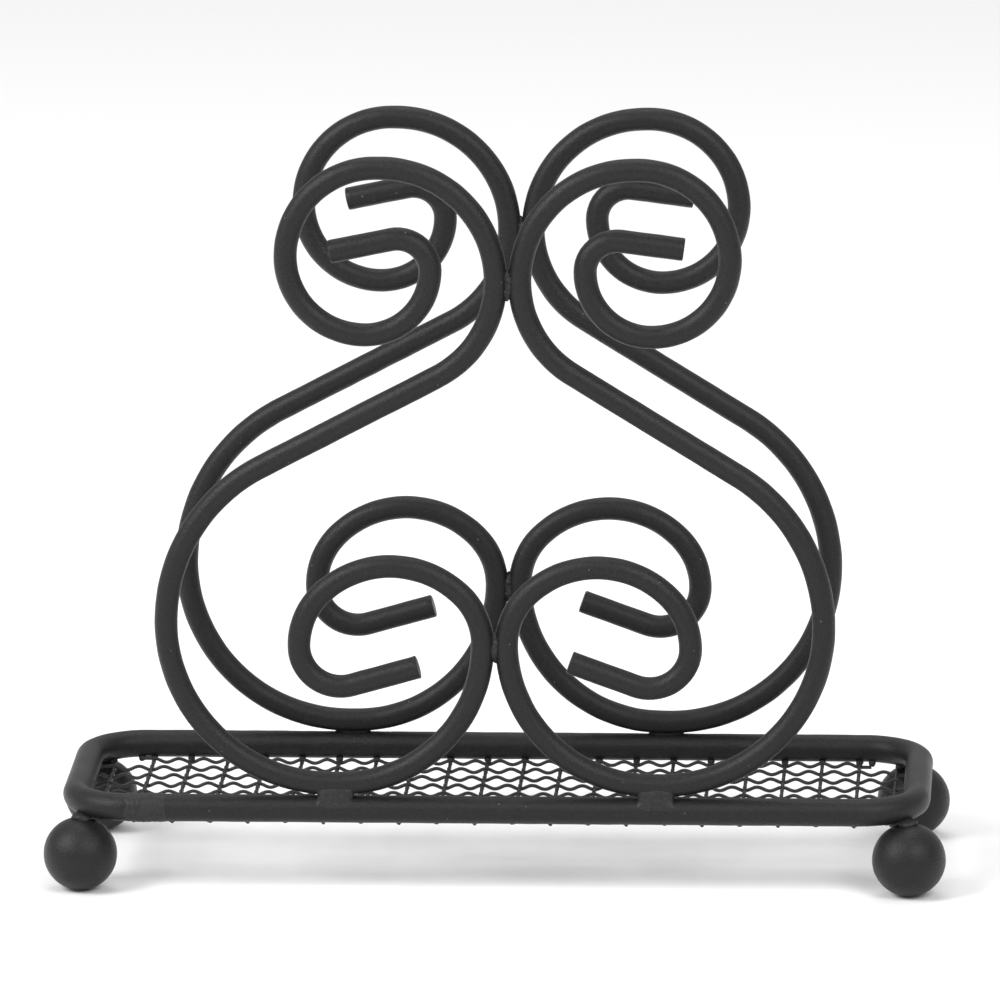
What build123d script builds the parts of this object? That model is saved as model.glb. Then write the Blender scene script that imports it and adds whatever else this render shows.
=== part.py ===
from build123d import *
from math import atan2, cos, degrees, radians, sin, sqrt
import os

os.makedirs("parts", exist_ok=True)

# Napkin holder of bent and welded round steel wire. Napkins stand on a woven wire floor, in the
# slot between a front and a back panel of scroll wire.
# +X is along the holder, +Y is from the front panel to the back panel, +Z is up.
# The origin is on the surface that the ball feet stand on, under the middle of the base frame.
# Sizes are in millimetres and angles in degrees.

# ---- base frame: one round bar bent into a rounded rectangle
frame_length = 188.5            # outside, along X
frame_depth = 62.0              # outside, along Y
frame_bar_d = 6.0
frame_corner_r = 12.5           # bend radius of the bar's centreline
butt_joint_from_corner = 3.5    # the bar's ends meet on the front rail, this far from the left bend
butt_joint_opening = 1.0
butt_weld_width = 8.0
butt_weld_rise = 0.35           # how far the bead stands up from the bar

# ---- ball feet
foot_ball_d = 16.0
foot_outset = 2.6               # ball centre, outside the bar's centreline at the corner
foot_corner_angle = 43.0        # where on the corner bend, from the end rail's side
foot_weld_d = 4.8
foot_weld_height = 2.8
foot_weld_outset = 2.2          # middle of the weld, outside the bar's centreline
foot_weld_lift = 0.2            # middle of the weld, above the top of the ball

# ---- scroll wires, the same bend for all four
scroll_wire_d = 5.0
scroll_lean = 2.1               # both wires of a panel lean this far to the right
upper_contact_shift = 3.3       # upper weld between the two wires, to the right of the lower one
panel_shift = 0.6               # lower weld, to the right of the frame's middle
diagonal_slope = 29.8           # below level
upper_tail_length = 13.5
upper_tail_turn = 99.5
upper_curl_r = 6.9              # next to the upper tail
upper_inner_r = 14.1
upper_base_r = 16.9
upper_side_r = 19.5
upper_flat = 1.0                # short straight at the top of the upper scroll
upper_crown_r = 24.5            # down to the upper contact
neck_r = 23.8                   # from the upper contact into the diagonal
shoulder_r = 39.2               # from the diagonal to the widest point
side_r = 35.4                   # from the widest point down to the rail
seat_flat = 1.8                 # short straight that sits along the rail
belly_r = 31.1                  # from the rail up to the lower contact
lower_rise_r = 15.3             # from the lower contact
lower_crown_r = 21.5            # across the top of the lower scroll
lower_side_r = 16.2
lower_curl_r = 8.9              # next to the lower tail
lower_tail_turn = 108.0
lower_tail_length = 15.0

# ---- welds of the scroll wires
root_gap = 0.2                  # fit-up gap that weld metal bridges
rail_weld_length = 9.0
rail_weld_d = 6.4
contact_weld_length = 7.0
contact_weld_d = 4.4
bead_rounding = 0.22            # radius of a bead's rounded ends, as a share of its diameter

# ---- woven floor, intermediate crimp: three half waves from one crossing to the next
mesh_wire_d = 0.8
mesh_column_pitch = 8.2         # between cross wires
mesh_row_pitch = 7.1            # between long wires
mesh_row_shift = 0.8            # the whole mesh sits this far towards the back rail
mesh_cross_gap = 0.06           # between two wires where they cross
mesh_half_waves = 3
mesh_drop = 3.3                 # middle plane of the mesh, below the middle of the bar
mesh_inset = 2.2                # wire ends, inside the bar's centreline
mesh_weld_d = 1.8
mesh_weld_length = 1.6
mesh_weld_drop = 2.95           # middle of a mesh weld, below the middle of the bar

# ---- worked out from the sizes above
frame_bar_r = frame_bar_d / 2
scroll_wire_r = scroll_wire_d / 2
rail_x = frame_length / 2 - frame_bar_r         # centreline of the end rails
rail_y = frame_depth / 2 - frame_bar_r          # centreline of the front and back rails
rail_z = foot_ball_d + frame_bar_r
bend_x = rail_x - frame_corner_r                # where the long rails start to bend
bend_y = rail_y - frame_corner_r                # where the end rails start to bend
butt_joint_x = -bend_x + butt_joint_from_corner
panel_y = {"front": -rail_y, "back": rail_y}
sides = {"left": 1, "right": -1}
contact_x = scroll_wire_r + root_gap / 2        # from a panel's mirror line to a wire beside it
seat_z = rail_z + frame_bar_r + root_gap + scroll_wire_r


def bend_wire(heading, bends):
    """Centreline of one length of wire, from the origin of its own plane.

    Each bend is (radius, angle), counter-clockwise positive, and (0, length) is a straight run.
    """
    at = Vector(0, 0)
    edges = []
    for radius, amount in bends:
        along = Vector(1, 0).rotate(Axis.Z, heading)
        if radius == 0:
            edge = Line(at, at + along * amount)
        else:
            edge = JernArc(at, along, radius, amount)
            heading += amount
        at = edge @ 1
        edges.append(edge.edge())
    return edges


def round_wire(edges, diameter):
    """Round section swept along joined edges."""
    path = Wire(edges)
    start = Plane(origin=path @ 0, z_dir=path % 0)
    return sweep(start * Circle(diameter / 2), path=path)


def bead(middle, direction, length, diameter):
    """Round-ended run of weld metal, before the metal it sits on is cut away."""
    rod = Cylinder(diameter / 2, length)
    return Plane(origin=middle, z_dir=direction) * fillet(rod.edges().filter_by(GeomType.CIRCLE),
                                                          diameter * bead_rounding)


def main_solid(shape):
    """The largest piece, where a cut leaves crumbs beside it."""
    return max(shape.solids(), key=lambda solid: solid.volume)


# ---------------------------------------------------------------------------- base frame
def base_frame_bar():
    """Round bar bent into the base loop, its two ends facing each other on the front rail."""
    root = butt_joint_opening / 2
    corner = (frame_corner_r, 90)
    bends = [(0, bend_x - butt_joint_x - root), corner, (0, 2 * bend_y), corner]
    bends += [(0, 2 * bend_x), corner, (0, 2 * bend_y), corner]
    bends += [(0, butt_joint_from_corner - root)]
    start = Pos(butt_joint_x + root, -rail_y, rail_z)
    return start * round_wire(bend_wire(0, bends), frame_bar_d)


def frame_butt_weld():
    """Weld that fills the opening between the bar's ends and stands a little proud all round."""
    half = butt_weld_width / 2
    root = butt_joint_opening / 2
    edge = (half, frame_bar_r)
    far_edge = (-half, frame_bar_r)
    crown = ThreePointArc(far_edge, (0, frame_bar_r + butt_weld_rise), edge)
    under = Polyline(edge, (root, frame_bar_r), (root, 0), (-root, 0), (-root, frame_bar_r), far_edge)
    return Pos(butt_joint_x, -rail_y, rail_z) * revolve(make_face(crown + under), Axis.X)


# ---------------------------------------------------------------------------- ball feet
def corner_point(side_x, side_y, outset, z):
    """Point at a foot's place on a corner bend, outside the bar's centreline by the outset."""
    reach = frame_corner_r + outset
    angle = radians(foot_corner_angle)
    return Vector(side_x * (bend_x + reach * cos(angle)), side_y * (bend_y + reach * sin(angle)), z)


def ball_foot(side_x, side_y):
    return Pos(corner_point(side_x, side_y, foot_outset, foot_ball_d / 2)) * Sphere(foot_ball_d / 2)


def foot_weld(side_x, side_y, frame, ball):
    """Collar of weld metal where a ball comes closest to the underside of the bar."""
    middle = corner_point(side_x, side_y, foot_weld_outset, foot_ball_d + foot_weld_lift)
    return main_solid(Pos(middle) * Cylinder(foot_weld_d / 2, foot_weld_height) - frame - ball)


# ---------------------------------------------------------------------------- scroll wires
def lean_of(side):
    return scroll_lean * side


def diagonal_length(side):
    """Straight run that brings the upper contact over the lower one, plus the shift."""
    slope = radians(diagonal_slope - lean_of(side))
    turned = (neck_r + shoulder_r) * (1 - sin(slope))
    return (side_r + seat_flat + belly_r + upper_contact_shift * side - turned) / cos(slope)


def scroll_bends(side):
    """Bends of one scroll wire, in order from its upper tail to its lower tail.

    The side is 1 for a left wire. A right wire is a left one leaning the other way, mirrored.
    """
    turn = 90 - diagonal_slope + lean_of(side)
    upper = [(0, upper_tail_length), (upper_curl_r, -upper_tail_turn - lean_of(side))]
    upper += [(upper_inner_r, -90), (upper_base_r, -90), (upper_side_r, -90), (0, upper_flat)]
    upper += [(upper_crown_r, -90), (neck_r, -turn), (0, diagonal_length(side)), (shoulder_r, turn)]
    lower = [(side_r, 90), (0, seat_flat), (belly_r, 90), (lower_rise_r, 45), (lower_crown_r, 90)]
    lower += [(lower_side_r, 45), (lower_curl_r, lower_tail_turn - lean_of(side))]
    lower += [(0, lower_tail_length)]
    return upper, lower


def scroll_wire(side, panel):
    """One bent wire of a panel, set down with its seat on the rail and its belly at the middle."""
    upper, lower = scroll_bends(side)
    edges = bend_wire(upper_tail_turn + lean_of(side) - 90, upper + lower)
    belly = edges[len(upper) + 2]
    drop = Pos(-contact_x - (belly @ 1).X, seat_z - (belly @ 0).Y)
    wire = drop * round_wire(edges, scroll_wire_d)
    if side < 0:
        wire = mirror(wire, Plane.YZ)
    return Pos(panel_shift, panel_y[panel], 0) * Rot(90, 0, 0) * wire


def rail_weld(side, panel, frame, wire):
    """Bead along the seam between a scroll wire and the rail that it sits on."""
    x = panel_shift - side * (contact_x + belly_r + seat_flat / 2)
    middle = (x, panel_y[panel], rail_z + frame_bar_r + root_gap / 2)
    return main_solid(bead(middle, (1, 0, 0), rail_weld_length, rail_weld_d) - frame - wire)


def neck_height(side):
    """Height where a wire runs straight down beside its neighbour at the upper contact."""
    slope = radians(diagonal_slope - lean_of(side))
    rise = side_r + (neck_r + shoulder_r) * cos(slope) + diagonal_length(side) * sin(slope)
    return seat_z + rise


def contact_weld(level, panel, left_wire, right_wire):
    """Short bead between the two wires of a panel, where they stand side by side."""
    place = (panel_shift, panel_y[panel], seat_z + belly_r)
    if level == "upper":
        middle_z = (neck_height(1) + neck_height(-1)) / 2
        place = (panel_shift + upper_contact_shift, panel_y[panel], middle_z)
    weld = bead(place, (0, 0, 1), contact_weld_length, contact_weld_d)
    return main_solid(weld - left_wire - right_wire)


# ---------------------------------------------------------------------------- woven floor
def spread(room, pitch):
    """Evenly spaced places either side of 0, as many as the room holds."""
    count = int(room / pitch) + 1
    return [(i - (count - 1) / 2) * pitch for i in range(count)]


def mesh_reach(across, bend_across, bend_along, rail_along):
    """How far a mesh wire runs from the middle to its end beside the bar, corners included."""
    bent = abs(across) - bend_across
    if bent <= 0:
        return rail_along - mesh_inset
    return bend_along + sqrt(max(0, (frame_corner_r - mesh_inset) ** 2 - bent**2))


def crimps(count, wave, rise, on_crest):
    """Bends of a wire that starts level on a crest or in a trough and makes so many half waves."""
    angle = 2 * degrees(atan2(rise, wave))
    radius = wave / 2 / sin(radians(angle))
    turn = -1 if on_crest else 1
    bends = [(radius, turn * angle)]
    for _ in range(count - 1):
        turn = -turn
        bends += [(radius, turn * 2 * angle)]
    return bends + [(radius, -turn * angle)]


def mesh_wire(crossings, low_end, high_end, pitch, first_is_crest):
    """Crimped wire along X that passes over and under in turn at its crossings."""
    wave = pitch / mesh_half_waves
    rise = mesh_wire_d + mesh_cross_gap
    waves_before = int((crossings[0] - low_end) / wave)
    waves_after = int((high_end - crossings[-1]) / wave)
    first = crossings[0] - waves_before * wave
    last = crossings[-1] + waves_after * wave
    on_crest = first_is_crest == (waves_before % 2 == 0)
    start_z = rise / 2 if on_crest else -rise / 2
    bends = [(0, first - low_end)]
    bends += crimps(round((last - first) / wave), wave, rise, on_crest)
    bends += [(0, high_end - last)]
    return Pos(low_end, 0, start_z) * Rot(90, 0, 0) * round_wire(bend_wire(0, bends), mesh_wire_d)


def mesh_weld(x, y, bar, butt_weld):
    """Short weld under the bar, from the cut end of a mesh wire at (x, y) straight out across the bar."""
    end = Vector(x, y)
    outward = (end - Vector(max(-bend_x, min(x, bend_x)), max(-bend_y, min(y, bend_y)))).normalized()
    middle = end + outward * (mesh_weld_length / 2)
    place = Plane(origin=(middle.X, middle.Y, rail_z - mesh_weld_drop), x_dir=(0, 0, -1), z_dir=outward)
    weld = place * Cylinder(mesh_weld_d / 2, mesh_weld_length)
    return main_solid(weld - bar - butt_weld)


# ---------------------------------------------------------------------------- build all nodes
nodes = {"base_frame_bar": base_frame_bar(), "frame_butt_weld": frame_butt_weld()}
bar = nodes["base_frame_bar"]
butt_weld = nodes["frame_butt_weld"]

for end, side_y in {"front": -1, "back": 1}.items():
    for hand, side in sides.items():
        foot = ball_foot(-side, side_y)
        nodes[f"ball_foot_{end}_{hand}"] = foot
        nodes[f"foot_weld_{end}_{hand}"] = foot_weld(-side, side_y, bar, foot)

for panel in panel_y:
    pair = {}
    for hand, side in sides.items():
        pair[hand] = scroll_wire(side, panel)
        nodes[f"scroll_wire_{panel}_{hand}"] = pair[hand]
        nodes[f"rail_weld_{panel}_{hand}"] = rail_weld(side, panel, bar, pair[hand])
    for level in ("upper", "lower"):
        weld = contact_weld(level, panel, pair["left"], pair["right"])
        nodes[f"{level}_contact_weld_{panel}"] = weld

columns = spread(2 * (rail_x - mesh_inset), mesh_column_pitch)
row_room = 2 * (rail_y - mesh_inset - abs(mesh_row_shift))
rows = [y + mesh_row_shift for y in spread(row_room, mesh_row_pitch)]
mesh_plane = Pos(0, 0, rail_z - mesh_drop)
end_welds = {"left": [], "right": [], "front": [], "back": []}

for i, y in enumerate(rows):
    reach = mesh_reach(y, bend_y, bend_x, rail_x)
    crossings = [x for x in columns if abs(x) < reach]
    crest = (i + columns.index(crossings[0])) % 2 == 0
    strand = mesh_wire(crossings, -reach, reach, mesh_column_pitch, crest)
    strand = mesh_plane * Pos(0, y, 0) * strand
    nodes[f"mesh_long_wire_{i + 1}"] = strand
    end_welds["left"].append(mesh_weld(-reach, y, bar, butt_weld))
    end_welds["right"].append(mesh_weld(reach, y, bar, butt_weld))

for j, x in enumerate(columns):
    reach = mesh_reach(x, bend_x, bend_y, rail_y)
    crossings = [y for y in rows if abs(y) < reach]
    crest = (j + rows.index(crossings[0])) % 2 == 1
    strand = mesh_wire(crossings, -reach, reach, mesh_row_pitch, crest)
    strand = mesh_plane * Pos(x, 0, 0) * Rot(0, 0, 90) * strand
    nodes[f"mesh_cross_wire_{j + 1}"] = strand
    end_welds["front"].append(mesh_weld(x, -reach, bar, butt_weld))
    end_welds["back"].append(mesh_weld(x, reach, bar, butt_weld))

for side, welds in end_welds.items():
    nodes[f"mesh_welds_{side}"] = Compound(children=welds)

for name, shape in nodes.items():
    export_step(shape, f"parts/{name}.step")
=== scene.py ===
from math import ceil, cos, pi, radians, sin, sqrt

import bmesh
import bpy
from mathutils import Matrix, Vector, noise


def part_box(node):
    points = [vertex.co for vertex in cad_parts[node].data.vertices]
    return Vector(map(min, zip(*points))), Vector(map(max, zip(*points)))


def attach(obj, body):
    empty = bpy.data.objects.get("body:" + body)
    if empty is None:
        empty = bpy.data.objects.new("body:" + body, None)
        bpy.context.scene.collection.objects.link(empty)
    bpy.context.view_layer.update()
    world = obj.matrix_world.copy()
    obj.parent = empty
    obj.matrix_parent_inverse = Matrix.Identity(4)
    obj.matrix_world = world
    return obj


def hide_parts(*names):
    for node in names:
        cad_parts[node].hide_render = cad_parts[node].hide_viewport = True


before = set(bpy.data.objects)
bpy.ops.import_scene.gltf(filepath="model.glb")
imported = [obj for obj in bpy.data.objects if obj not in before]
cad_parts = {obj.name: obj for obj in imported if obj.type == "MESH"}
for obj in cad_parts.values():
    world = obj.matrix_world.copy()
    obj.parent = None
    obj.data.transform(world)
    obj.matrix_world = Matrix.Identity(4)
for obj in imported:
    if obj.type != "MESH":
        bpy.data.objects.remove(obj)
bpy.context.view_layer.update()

# ---------------------------------------------------------------------------- counter, light and camera
# The holder stands on a pale matt counter top, lit from all round by a white room and by three
# large soft panels. The camera is far off, a little above the holder and a touch to its right.
MM = 0.001
rail_z = 19.0 * MM
camera_turn = radians(3.23)
camera_height = radians(14.5)
camera_tilt = radians(-0.38)
camera_distance = 2.5246
camera_lens = 416.1
middle_above_rail = 60.6 * MM

turn_out = Vector((sin(camera_turn), -cos(camera_turn), 0))
to_camera = turn_out * cos(camera_height) + Vector((0, 0, sin(camera_height)))
level_right = Vector((cos(camera_turn), sin(camera_turn), 0))
level_up = to_camera.cross(level_right)
picture_up = level_up * cos(camera_tilt) - level_right * sin(camera_tilt)
stand_point = Vector((0, 0, rail_z)) + to_camera * camera_distance
look_point = Vector((0, 0, rail_z)) + picture_up * middle_above_rail
view_back = (stand_point - look_point).normalized()
view_right = picture_up.cross(view_back).normalized()
view_axes = Matrix((view_right, view_back.cross(view_right), view_back)).transposed()

camera = bpy.data.objects.new("camera", bpy.data.cameras.new("camera"))
camera.data.lens = camera_lens
camera.data.sensor_width = 36
camera.data.clip_start = 0.1
camera.data.clip_end = 60
camera.matrix_world = Matrix.Translation(stand_point) @ view_axes.to_4x4()
bpy.context.scene.collection.objects.link(camera)
bpy.context.scene.camera = camera


class Field:
    """A value that varies over a surface: one shader socket that takes part in plain arithmetic."""

    def __init__(self, tree, socket=None):
        self.tree = tree
        self.socket = socket

    def node(self, kind, settings=None, inputs=None, output=0):
        """One node of any type: its settings, then the value or link of each socket."""
        made = self.tree.nodes.new(kind)
        for setting, value in (settings or {}).items():
            if setting == "stops":
                for stop, (at, shade) in zip(made.color_ramp.elements, value):
                    stop.position = at
                    stop.color = (shade, shade, shade, 1)
            else:
                setattr(made, setting, value)
        for socket, value in (inputs or {}).items():
            if isinstance(value, Field):
                self.tree.links.new(value.socket, made.inputs[socket])
            else:
                made.inputs[socket].default_value = value
        return Field(self.tree, made.outputs[output])

    def math(self, operation, first, second):
        return self.node("ShaderNodeMath", {"operation": operation}, {0: first, 1: second})

    def __add__(self, other):
        return self.math("ADD", self, other)

    __radd__ = __add__

    def __sub__(self, other):
        return self.math("SUBTRACT", self, other)

    def __rsub__(self, other):
        return self.math("SUBTRACT", other, self)

    def __mul__(self, other):
        return self.math("MULTIPLY", self, other)

    __rmul__ = __mul__

    def blend(self, low, high):
        """Colour that goes from low to high as this value goes from 0 to 1.

        The Mix node has sockets for every data type, and 6, 7 and output 2 are its colours.
        """
        return self.node("ShaderNodeMix", {"data_type": "RGBA"}, {0: self, 6: low, 7: high}, 2)


def grey(shade, warmth=0.0):
    return (shade * (1 + warmth), shade, shade * (1 - warmth), 1)


def new_material(name):
    material = bpy.data.materials.new(name)
    material.use_nodes = True
    shader = material.node_tree.nodes["Principled BSDF"]
    return material, shader, Field(material.node_tree)


def link(field, shader, socket):
    field.tree.links.new(field.socket, shader.inputs[socket])


floor_size = 30.0
half = floor_size / 2
floor_outline = [(-half, -half, 0), (half, -half, 0), (half, half, 0), (-half, half, 0)]
floor_mesh = bpy.data.meshes.new("counter_top")
floor_mesh.from_pydata(floor_outline, [], [(0, 1, 2, 3)])
floor = bpy.data.objects.new("counter_top", floor_mesh)
bpy.context.scene.collection.objects.link(floor)
counter, shader, surface = new_material("matt_white_counter")
mottle = surface.node("ShaderNodeTexNoise", inputs={"Scale": 3.0, "Detail": 4.0})
link(mottle.blend(grey(0.86), grey(0.90)), shader, "Base Color")
shader.inputs["Roughness"].default_value = 0.9
shader.inputs["Specular IOR Level"].default_value = 0.1
floor_mesh.materials.append(counter)

world = bpy.data.worlds.new("soft_room")
bpy.context.scene.world = world
world.use_nodes = True
world.node_tree.nodes["Background"].inputs["Color"].default_value = (1, 1, 1, 1)
world.node_tree.nodes["Background"].inputs["Strength"].default_value = 0.62
bpy.context.scene.view_settings.view_transform = "Standard"


def soft_panel(name, place, size, power):
    """Square light panel that faces the middle of the holder: metres and watts."""
    lamp = bpy.data.lights.new(name, "AREA")
    lamp.shape = "SQUARE"
    lamp.size = size
    lamp.energy = power
    panel = bpy.data.objects.new(name, lamp)
    panel.location = place
    holder_middle = Vector((0, 0, 0.07))
    panel.rotation_euler = (holder_middle - Vector(place)).to_track_quat("-Z", "Y").to_euler()
    bpy.context.scene.collection.objects.link(panel)


soft_panel("left_panel", (-1.02, -0.69, 1.03), 0.7, 20)
soft_panel("right_panel", (0.72, -0.99, 1.03), 0.7, 12)
soft_panel("top_panel", (0, 0.5, 1.5), 0.8, 6)

# ---------------------------------------------------------------------------- base frame bar
# The base is one length of 6 mm round mild steel bar, bent to a rounded oblong with its two ends
# meeting on the front rail. Everything is powder coated satin black after it has been welded.
frame_length = 188.5 * MM
frame_depth = 62.0 * MM
frame_bar_r = 3.0 * MM
frame_corner_r = 12.5 * MM
butt_from_corner = 3.5 * MM
butt_half_gap = 0.4 * MM
bar_edge = 0.3 * MM
bar_wobble = 0.05 * MM

rail_x = frame_length / 2 - frame_bar_r
rail_y = frame_depth / 2 - frame_bar_r
bend_x = rail_x - frame_corner_r
bend_y = rail_y - frame_corner_r
butt_x = butt_from_corner - bend_x


def powder_coat(name, shade, roughness, peel, peel_size, dust):
    """Satin black powder coat: fine peel, faint mottling, and a few pale specks of dust or overspray.

    The peel is its height and the peel size its width, and dust is how strongly the specks show.
    """
    mottling = 0.14
    sand_fineness = 3.2
    grain_strength = 2.6
    pale_grain = 3.2
    speck_radius = 0.055
    dust_shade = 0.22
    material, shader, surface = new_material(name)
    place = surface.node("ShaderNodeTexCoord", output="Object")
    cloud_inputs = {"Vector": place, "Scale": 90.0, "Detail": 4.0}
    grain_inputs = {"Vector": place, "Scale": 1.0 / peel_size, "Detail": 3.0}
    sand_inputs = {"Vector": place, "Scale": sand_fineness / peel_size, "Detail": 2.0}
    clouds = surface.node("ShaderNodeTexNoise", inputs=cloud_inputs)
    grain = surface.node("ShaderNodeTexNoise", inputs=grain_inputs)
    sand = surface.node("ShaderNodeTexNoise", inputs=sand_inputs)
    cells = surface.node("ShaderNodeTexVoronoi", inputs={"Vector": place, "Scale": 260.0})
    stops = [(0.0, 1.0), (speck_radius, 0.0)]
    speck = surface.node("ShaderNodeValToRGB", {"stops": stops}, {"Fac": cells})
    speck_here = surface.node("ShaderNodeSeparateColor", inputs={"Color": speck})
    dark = clouds.blend(grey(shade * (1 - mottling)), grey(shade * (1 + mottling)))
    speckled = (grain * sand * grain_strength).blend(dark, grey(shade * pale_grain, 0.02))
    link((speck_here * dust).blend(speckled, grey(dust_shade, 0.03)), shader, "Base Color")
    link(roughness + (clouds - 0.5) * 0.10 + (grain - 0.5) * 0.14, shader, "Roughness")
    relief = grain * 0.75 + sand * 0.25 + speck_here * (dust * 0.6)
    bump = surface.node("ShaderNodeBump", inputs={"Strength": 1.0, "Distance": peel, "Height": relief})
    link(bump, shader, "Normal")
    shader.inputs["Specular IOR Level"].default_value = 0.22
    return material


black_coat = powder_coat("satin_black_coat", 0.0050, 0.39, 0.16 * MM, 0.46 * MM, 0.80)


def bent_line(heading, bends, step):
    """Points along a wire bent in one plane, from the origin.

    Each bend is (radius, degrees), counter-clockwise positive, and (0, length) is a straight run.
    """
    heading = radians(heading)
    at = Vector((0, 0))
    points = [at.copy()]
    for radius, amount in bends:
        turn = radians(amount) if radius else 0
        length = abs(turn) * radius if radius else amount
        count = max(1, ceil(length / step))
        half_turn = turn / count / 2
        stride = 2 * radius * sin(abs(half_turn)) if radius else length / count
        for _ in range(count):
            heading += half_turn
            at += Vector((cos(heading), sin(heading))) * stride
            heading += half_turn
            points.append(at.copy())
    return points


def skin(bm, rings):
    """Quads from each ring of points to the next, with a fan over each end."""
    loops = [[bm.verts.new(p) for p in ring] for ring in rings]
    sides = len(loops[0])
    for here, after in zip(loops, loops[1:]):
        for i in range(sides):
            j = (i + 1) % sides
            bm.faces.new((here[i], here[j], after[j], after[i]))
    for loop, order in ((loops[0], -1), (loops[-1], 1)):
        hub = bm.verts.new(sum((v.co for v in loop), Vector()) / sides)
        for i in range(sides):
            pair = (loop[i], loop[(i + 1) % sides])[::order]
            bm.faces.new((pair[0], pair[1], hub))


def round_bar(bm, points, face, radius, sides, edge=0.0, wobble=0.0):
    """Round section along points that lie in one plane, whose normal is given.

    Cut ends are eased by the edge size and keep a little saw burr, and the wobble is how far the
    skin strays from round.
    """
    wobble_fineness = 260
    burr_fineness = 900
    burr_height = 0.9
    burr_from = 0.12
    stations = []
    for i, point in enumerate(points):
        before = points[max(i - 1, 0)]
        after = points[min(i + 1, len(points) - 1)]
        stations.append((point, (after - before).normalized(), radius, 0))
    if edge:
        first_at, first_way = stations[0][:2]
        last_at, last_way = stations[-1][:2]
        rounding = (0, pi / 8, pi / 4, 3 * pi / 8)
        eased = [(edge * (1 - cos(a)), radius - edge * (1 - sin(a))) for a in rounding]
        start = [(first_at + first_way * inward, first_way, r, edge) for inward, r in eased]
        finish = [(last_at - last_way * inward, last_way, r, edge) for inward, r in reversed(eased)]
        stations = start + stations[1:-1] + finish
    rings = []
    for at, way, r, burr in stations:
        across = way.cross(face).normalized()
        ring = []
        for k in range(sides):
            angle = 2 * pi * k / sides
            out = across * cos(angle) + face * sin(angle)
            spot = at + out * r
            stray = wobble * noise.noise(spot * wobble_fineness) if wobble else 0
            stray += burr_height * burr * max(0.0, noise.noise(spot * burr_fineness) - burr_from)
            ring.append(spot + out * stray)
        rings.append(ring)
    skin(bm, rings)


def add_piece(name, bm, material, replaced):
    """One finished piece of the holder, in place of the plain node or nodes it stands for."""
    sharp_from = radians(50)
    bmesh.ops.recalc_face_normals(bm, faces=bm.faces)
    mesh = bpy.data.meshes.new(name)
    bm.to_mesh(mesh)
    bm.free()
    mesh.materials.append(material)
    mesh.shade_smooth()
    mesh.set_sharp_from_angle(angle=sharp_from)
    piece = bpy.data.objects.new(name, mesh)
    bpy.context.scene.collection.objects.link(piece)
    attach(piece, "root")
    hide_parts(*replaced)


def base_bar_line():
    """Centreline of the frame bar, from one side of the butt joint round to the other."""
    corner = (frame_corner_r, 90)
    bends = [(0, bend_x - butt_x - butt_half_gap), corner, (0, 2 * bend_y), corner]
    bends += [(0, 2 * bend_x), corner, (0, 2 * bend_y), corner, (0, butt_from_corner - butt_half_gap)]
    start_x = butt_x + butt_half_gap
    return [Vector((start_x + p.x, p.y - rail_y, rail_z)) for p in bent_line(0, bends, 1.0 * MM)]


bm = bmesh.new()
up = Vector((0, 0, 1))
round_bar(bm, base_bar_line(), up, frame_bar_r, sides=36, edge=bar_edge, wobble=bar_wobble)
add_piece("base_bar", bm, black_coat, ["base_frame_bar"])

# ---------------------------------------------------------------------------- butt weld in the frame
# The two ends of the bar are butted and welded all round, then left as welded under the coat,
# so a low band of rippled metal with a few pits shows on the front rail.
butt_width = 9.0 * MM
butt_rise = 0.34 * MM
butt_edge_stray = 0.8 * MM
butt_edge_sink = 0.06 * MM
ripple_pitch = 1.15 * MM
butt_rings = 56
butt_sides = 72

weld_coat = powder_coat("satin_black_over_weld", 0.008, 0.46, 0.10 * MM, 0.7 * MM, 0.35)


def weld_texture(spot, seed):
    """Roughness of weld metal at a place: lumps, finer grains and small pits, from about -1 to 1."""
    shift = Vector((seed * 3.1, seed * 7.7, seed * 1.9))
    lumps = noise.noise(spot * 520 + shift)
    grains = noise.noise(spot * 1500 + shift)
    pits = max(0.0, noise.noise(spot * 900 - shift) - 0.35)
    return lumps * 0.75 + grains * 0.35 - pits * 1.6


bm = bmesh.new()
rings = []
for i in range(butt_rings + 1):
    along = i / butt_rings
    swell = sin(pi * along) ** 0.55
    ring = []
    for k in range(butt_sides):
        angle = 2 * pi * k / butt_sides
        out = Vector((0, cos(angle), sin(angle)))
        stray_at = Vector((along * 0.5, cos(angle) * 1.3, sin(angle) * 1.3))
        edge_shift = noise.noise(stray_at) * butt_edge_stray
        x = butt_x + (along - 0.5) * butt_width + edge_shift * (2 * along - 1)
        spot = Vector((x, -rail_y, rail_z)) + out * frame_bar_r
        ripple = 0.06 * sin(2 * pi * x / ripple_pitch + 0.9 * cos(angle))
        height = swell * (0.75 + ripple + 0.5 * weld_texture(spot, 1))
        ring.append(spot + out * (butt_rise * height - butt_edge_sink))
    rings.append(ring)
skin(bm, rings)
add_piece("butt_weld", bm, weld_coat, ["frame_butt_weld"])

# ---------------------------------------------------------------------------- ball feet
# Four solid 16 mm steel balls, one under each corner of the frame, each held by a puddle of weld
# between the top of the ball and the underside of the bar.
ball_r = 8.0 * MM
ball_outset = 2.6 * MM
ball_dents = 0.035 * MM
ball_undersize = 0.02 * MM
ball_weld_outset = 1.9 * MM
ball_weld_lift = 0.1 * MM
ball_weld_size = (4.6 * MM, 4.4 * MM, 2.1 * MM)
ball_weld_rough = 0.12 * MM
ball_angle = radians(43)
corners = {"front_left": (-1, -1), "front_right": (1, -1), "back_left": (-1, 1), "back_right": (1, 1)}


def corner_place(side_x, side_y, outset, z):
    """Point outside the bar's centreline at a corner bend, part of the way round the bend."""
    reach = frame_corner_r + outset
    x = bend_x + reach * cos(ball_angle)
    y = bend_y + reach * sin(ball_angle)
    return Vector((side_x * x, side_y * y, z))


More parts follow.
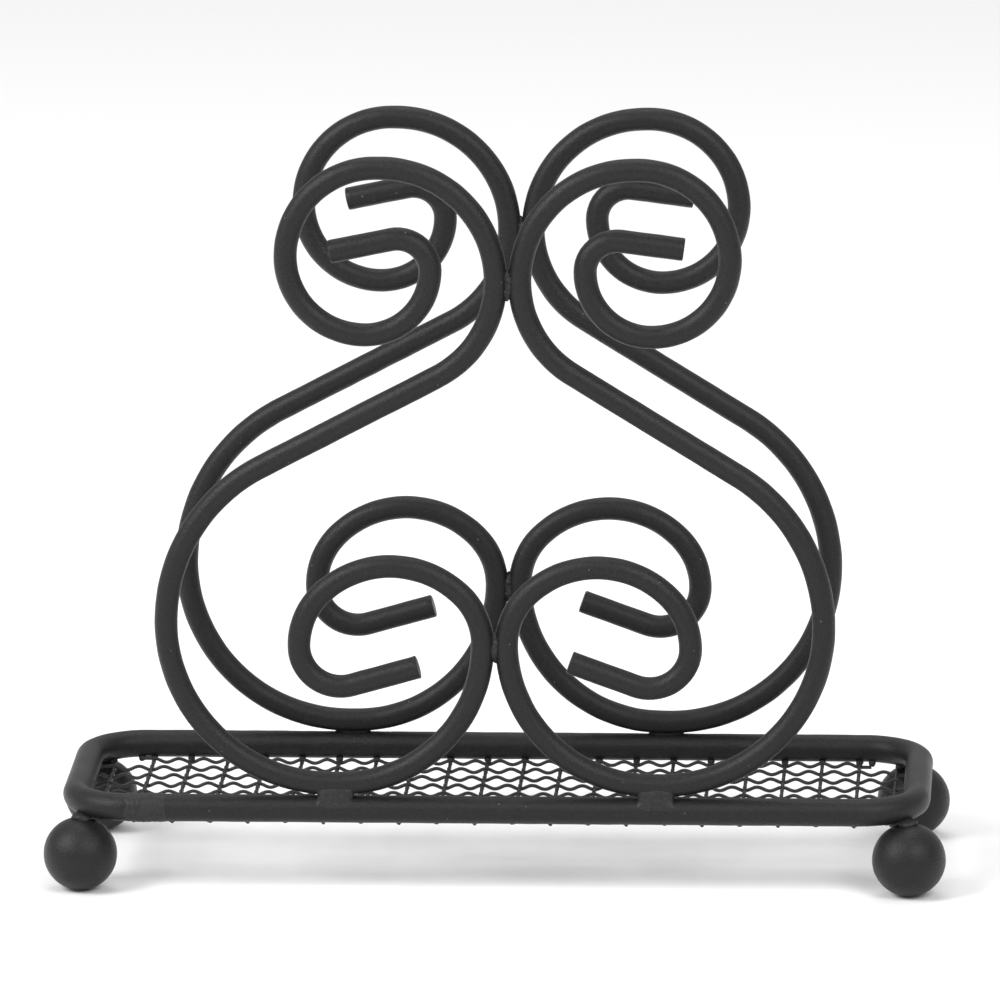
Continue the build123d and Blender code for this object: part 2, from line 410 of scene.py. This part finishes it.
def weld_lump(bm, middle, size, seed, rough, fineness=5):
    """Closed lump of weld metal of a given size, no two alike."""
    made = bmesh.ops.create_icosphere(bm, subdivisions=fineness, radius=1.0)
    for vert in made["verts"]:
        out = vert.co.normalized()
        swell = 1 + 0.16 * noise.noise(out * 1.3 + Vector((seed, seed * 2.3, 0)))
        spot = Vector(o * s / 2 for o, s in zip(out, size)) * swell
        vert.co = middle + spot + out * rough * weld_texture(middle + spot, seed)


for number, (corner, (side_x, side_y)) in enumerate(corners.items()):
    bm = bmesh.new()
    bmesh.ops.create_icosphere(bm, subdivisions=6, radius=ball_r)
    centre = corner_place(side_x, side_y, ball_outset, ball_r)
    for vert in bm.verts:
        out = vert.co.normalized()
        dent = ball_dents * noise.noise(out * 2.5 + Vector((number * 5, 0, 0)))
        vert.co += out * (dent - ball_undersize)
        vert.co.z = max(vert.co.z, -ball_r)
        vert.co += centre
    add_piece(f"ball_{corner}", bm, black_coat, [f"ball_foot_{corner}"])
    bm = bmesh.new()
    middle = corner_place(side_x, side_y, ball_weld_outset, 2 * ball_r + ball_weld_lift)
    weld_lump(bm, middle, ball_weld_size, 10 + number, ball_weld_rough)
    add_piece(f"ball_weld_{corner}", bm, weld_coat, [f"foot_weld_{corner}"])

# ---------------------------------------------------------------------------- scroll wires
# Each panel is two lengths of 5 mm round wire, cold bent to the same double scroll, one of them
# turned over. They lean a little to the right and stand on the middle of the long rails.
# Bends and lengths are in millimetres and degrees here, in their order along the wire.
scroll_wire_r = 2.5
scroll_lean = 2.1
upper_contact_shift = 3.3
panel_shift = 0.6
upper_tail_length = 13.5
upper_tail_turn = 99.5
upper_curl_r = 6.9
upper_inner_r = 14.1
upper_base_r = 16.9
upper_side_r = 19.5
upper_flat = 1.0
upper_crown_r = 24.5
neck_r = 23.8
diagonal_slope = 29.8
shoulder_r = 39.2
side_r = 35.4
seat_flat = 1.8
belly_r = 31.1
lower_rise_r = 15.3
lower_crown_r = 21.5
lower_side_r = 16.2
lower_curl_r = 8.9
lower_tail_turn = 108.0
lower_tail_length = 15.0
bend_step = 1.0
root_gap = 0.2
scroll_edge = 0.35 * MM
contact_x = scroll_wire_r + root_gap / 2
seat_z = (rail_z + frame_bar_r) / MM + root_gap + scroll_wire_r
panels = {"front": -rail_y, "back": rail_y}
hands = {"left": 1, "right": -1}


def diagonal_length(side):
    """Length of the diagonal that puts the upper contact at its shift from the lower one."""
    slope = radians(diagonal_slope - scroll_lean * side)
    turned = (neck_r + shoulder_r) * (1 - sin(slope))
    return (side_r + seat_flat + belly_r + upper_contact_shift * side - turned) / cos(slope)


def scroll_line(side, panel):
    """Centreline of one scroll wire from its upper tail to its lower tail, in place."""
    lean = scroll_lean * side
    turn = 90 - diagonal_slope + lean
    upper = [(0, upper_tail_length), (upper_curl_r, -upper_tail_turn - lean), (upper_inner_r, -90)]
    upper += [(upper_base_r, -90), (upper_side_r, -90), (0, upper_flat), (upper_crown_r, -90)]
    upper += [(neck_r, -turn), (0, diagonal_length(side)), (shoulder_r, turn)]
    lower = [(side_r, 90), (0, seat_flat), (belly_r, 90), (lower_rise_r, 45), (lower_crown_r, 90)]
    lower += [(lower_side_r, 45), (lower_curl_r, lower_tail_turn - lean), (0, lower_tail_length)]
    heading = upper_tail_turn + lean - 90
    lowest = bent_line(heading, upper + lower[:1], bend_step)[-1].y
    belly_x = bent_line(heading, upper + lower[:3], bend_step)[-1].x
    line = []
    for p in bent_line(heading, upper + lower, bend_step):
        x = (p.x - belly_x - contact_x) * side + panel_shift
        line.append(Vector((x * MM, panels[panel], (p.y - lowest + seat_z) * MM)))
    return line


panel_face = Vector((0, 1, 0))
for panel in panels:
    for hand, side in hands.items():
        bm = bmesh.new()
        line = scroll_line(side, panel)
        round_bar(bm, line, panel_face, scroll_wire_r * MM, sides=32, edge=scroll_edge, wobble=bar_wobble)
        add_piece(f"scroll_{panel}_{hand}", bm, black_coat, [f"scroll_wire_{panel}_{hand}"])

# ---------------------------------------------------------------------------- welds of the scroll wires
# Each scroll is welded to its rail where it touches, and to its partner where the two bellies and
# the two crowns stand side by side. The welds are left as laid, so they are lumpy under the coat.
web_width = 7.8 * MM
web_toe = 3.4 * MM
web_flare = 0.8 * MM
web_half_depth = 2.15 * MM
web_thinning = 0.55 * MM
web_outset = 0.95 * MM
web_rough = 0.24 * MM
web_low = rail_z + 0.2 * MM
web_high = rail_z + 5.5 * MM
web_rings = 40
web_sides = 64
contact_drop = 0.7 * MM

# Each lump of a contact weld, in millimetres: offset from the weld's middle, size, roughness.
contact_lumps = [
    ((0, 0, 0), (3.0, 3.3, 6.8), 0.32),
    ((0.3, 0, 1.3), (2.5, 3.7, 2.4), 0.28),
    ((-0.2, 0, -1.4), (2.4, 3.6, 2.2), 0.28),
]


def weld_web(bm, x, y, outward, seed):
    """Web of weld between a scroll and its rail: narrow at the scroll, with a toe each way on the rail."""
    squareness = 3.2
    rings = []
    for i in range(web_rings + 1):
        rise = i / web_rings
        z = web_low + (web_high - web_low) * rise
        end = (1 - abs(2 * rise - 1) ** 6) ** 0.5
        toe = web_toe * max(0.0, 1 - rise * 2.1) ** 1.6
        flare = web_flare * max(0.0, rise - 0.55)
        half_width = (web_width / 2 + toe + flare) * (0.25 + 0.75 * end)
        half_depth = (web_half_depth - web_thinning * rise) * (0.45 + 0.55 * end)
        ring = []
        for k in range(web_sides):
            angle = 2 * pi * k / web_sides
            c, s = cos(angle), sin(angle)
            flat = (abs(c) ** squareness + abs(s) ** squareness) ** (-1 / squareness)
            spot = Vector((x + half_width * c * flat, y + outward * web_outset + half_depth * s * flat, z))
            ring.append(spot + Vector((c, s, 0)) * web_rough * weld_texture(spot, seed))
        rings.append(ring)
    skin(bm, rings)


seed = 20
for panel, y in panels.items():
    outward = -1 if y < 0 else 1
    for hand, side in hands.items():
        bm = bmesh.new()
        x = (panel_shift - side * (contact_x + belly_r + seat_flat / 2)) * MM
        weld_web(bm, x, y, outward, seed)
        add_piece(f"rail_bead_{panel}_{hand}", bm, weld_coat, [f"rail_weld_{panel}_{hand}"])
        seed += 3
    for level in ("upper", "lower"):
        low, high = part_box(f"{level}_contact_weld_{panel}")
        middle = (low + high) / 2
        middle.z -= contact_drop
        bm = bmesh.new()
        for offset, size, rough in contact_lumps:
            lump_size = [width * MM for width in size]
            weld_lump(bm, middle + Vector(offset) * MM, lump_size, seed, rough * MM)
            seed += 1
        name = f"{level}_bead_{panel}"
        add_piece(name, bm, weld_coat, [f"{level}_contact_weld_{panel}"])

# ---------------------------------------------------------------------------- woven floor
# Woven panel of 0.8 mm wire, crimped three half waves from one crossing to the next, cut to the
# inside of the frame and tacked to the underside of the bar at the end of every wire.
mesh_r = 0.4 * MM
column_pitch = 8.2 * MM
row_pitch = 7.1 * MM
row_shift = 0.8 * MM
half_waves = 3
points_per_half_wave = 5
mesh_inset = 2.2 * MM
mesh_z = rail_z - 3.3 * MM
crimp_rise = 0.86 * MM
tack_z = rail_z - 2.95 * MM
tack_outset = 0.7 * MM
tack_size = (1.6 * MM, 1.6 * MM, 1.5 * MM)
tack_rough = 0.08 * MM

mesh_coat = powder_coat("satin_black_on_fine_wire", 0.010, 0.42, 0.02 * MM, 0.4 * MM, 0.2)


def spread(room, pitch):
    """Places at an even pitch, as many as the room takes, about its middle."""
    count = int(room / pitch) + 1
    return [(i - (count - 1) / 2) * pitch for i in range(count)]


def mesh_reach(across, bend_across, bend_along, rail_along):
    """Half length of the mesh wire at a place across the frame, shorter where the corner bends in."""
    bent = abs(across) - bend_across
    if bent <= 0:
        return rail_along - mesh_inset
    return bend_along + sqrt(max(0, (frame_corner_r - mesh_inset) ** 2 - bent**2))


def crimped_line(crossings, reach, pitch, first_is_crest, seed):
    """Wavy centreline of one mesh wire, as distance along it and height, slightly uneven."""
    wave = pitch / half_waves
    waves_before = int((crossings[0] + reach) / wave)
    waves_after = int((reach - crossings[-1]) / wave)
    first = crossings[0] - waves_before * wave
    count = round((crossings[-1] + waves_after * wave - first) / wave)
    sign = 1 if first_is_crest == (waves_before % 2 == 0) else -1
    line = [Vector((-reach, sign * crimp_rise / 2))]
    for i in range(count * points_per_half_wave + 1):
        along = i / points_per_half_wave
        uneven = 1 + 0.12 * noise.noise(Vector((along * 0.7, seed * 3.7, 0)))
        height = sign * crimp_rise / 2 * cos(pi * along) * uneven
        line.append(Vector((first + along * wave, height)))
    line.append(Vector((reach, line[-1].y)))
    return line


def tack(bm, x, y, seed):
    """Small blob of weld from the end of a mesh wire towards the underside of the bar."""
    end = Vector((x, y, tack_z))
    inward = Vector((max(-bend_x, min(x, bend_x)), max(-bend_y, min(y, bend_y)), tack_z))
    middle = end + (end - inward).normalized() * tack_outset
    weld_lump(bm, middle, tack_size, seed, tack_rough, fineness=3)


columns = spread(2 * (rail_x - mesh_inset), column_pitch)
rows = [y + row_shift for y in spread(2 * (rail_y - mesh_inset - row_shift), row_pitch)]
tacks = {side: bmesh.new() for side in ("left", "right", "front", "back")}
seed = 60

for i, y in enumerate(rows):
    reach = mesh_reach(y, bend_y, bend_x, rail_x)
    crossings = [x for x in columns if abs(x) < reach]
    crest = (i + columns.index(crossings[0])) % 2 == 0
    line = crimped_line(crossings, reach, column_pitch, crest, seed)
    bm = bmesh.new()
    round_bar(bm, [Vector((p.x, y, mesh_z + p.y)) for p in line], Vector((0, 1, 0)), mesh_r, sides=10)
    add_piece(f"long_wire_{i + 1}", bm, mesh_coat, [f"mesh_long_wire_{i + 1}"])
    for side, way in (("left", -1), ("right", 1)):
        tack(tacks[side], way * reach, y, seed)
        seed += 1

for j, x in enumerate(columns):
    reach = mesh_reach(x, bend_x, bend_y, rail_y)
    crossings = [y for y in rows if abs(y) < reach]
    crest = (j + rows.index(crossings[0])) % 2 == 1
    line = crimped_line(crossings, reach, row_pitch, crest, seed)
    bm = bmesh.new()
    round_bar(bm, [Vector((x, p.x, mesh_z + p.y)) for p in line], Vector((1, 0, 0)), mesh_r, sides=10)
    add_piece(f"cross_wire_{j + 1}", bm, mesh_coat, [f"mesh_cross_wire_{j + 1}"])
    for side, way in (("front", -1), ("back", 1)):
        tack(tacks[side], x, way * reach, seed)
        seed += 1

for side, bm in tacks.items():
    add_piece(f"mesh_tacks_{side}", bm, weld_coat, [f"mesh_welds_{side}"])
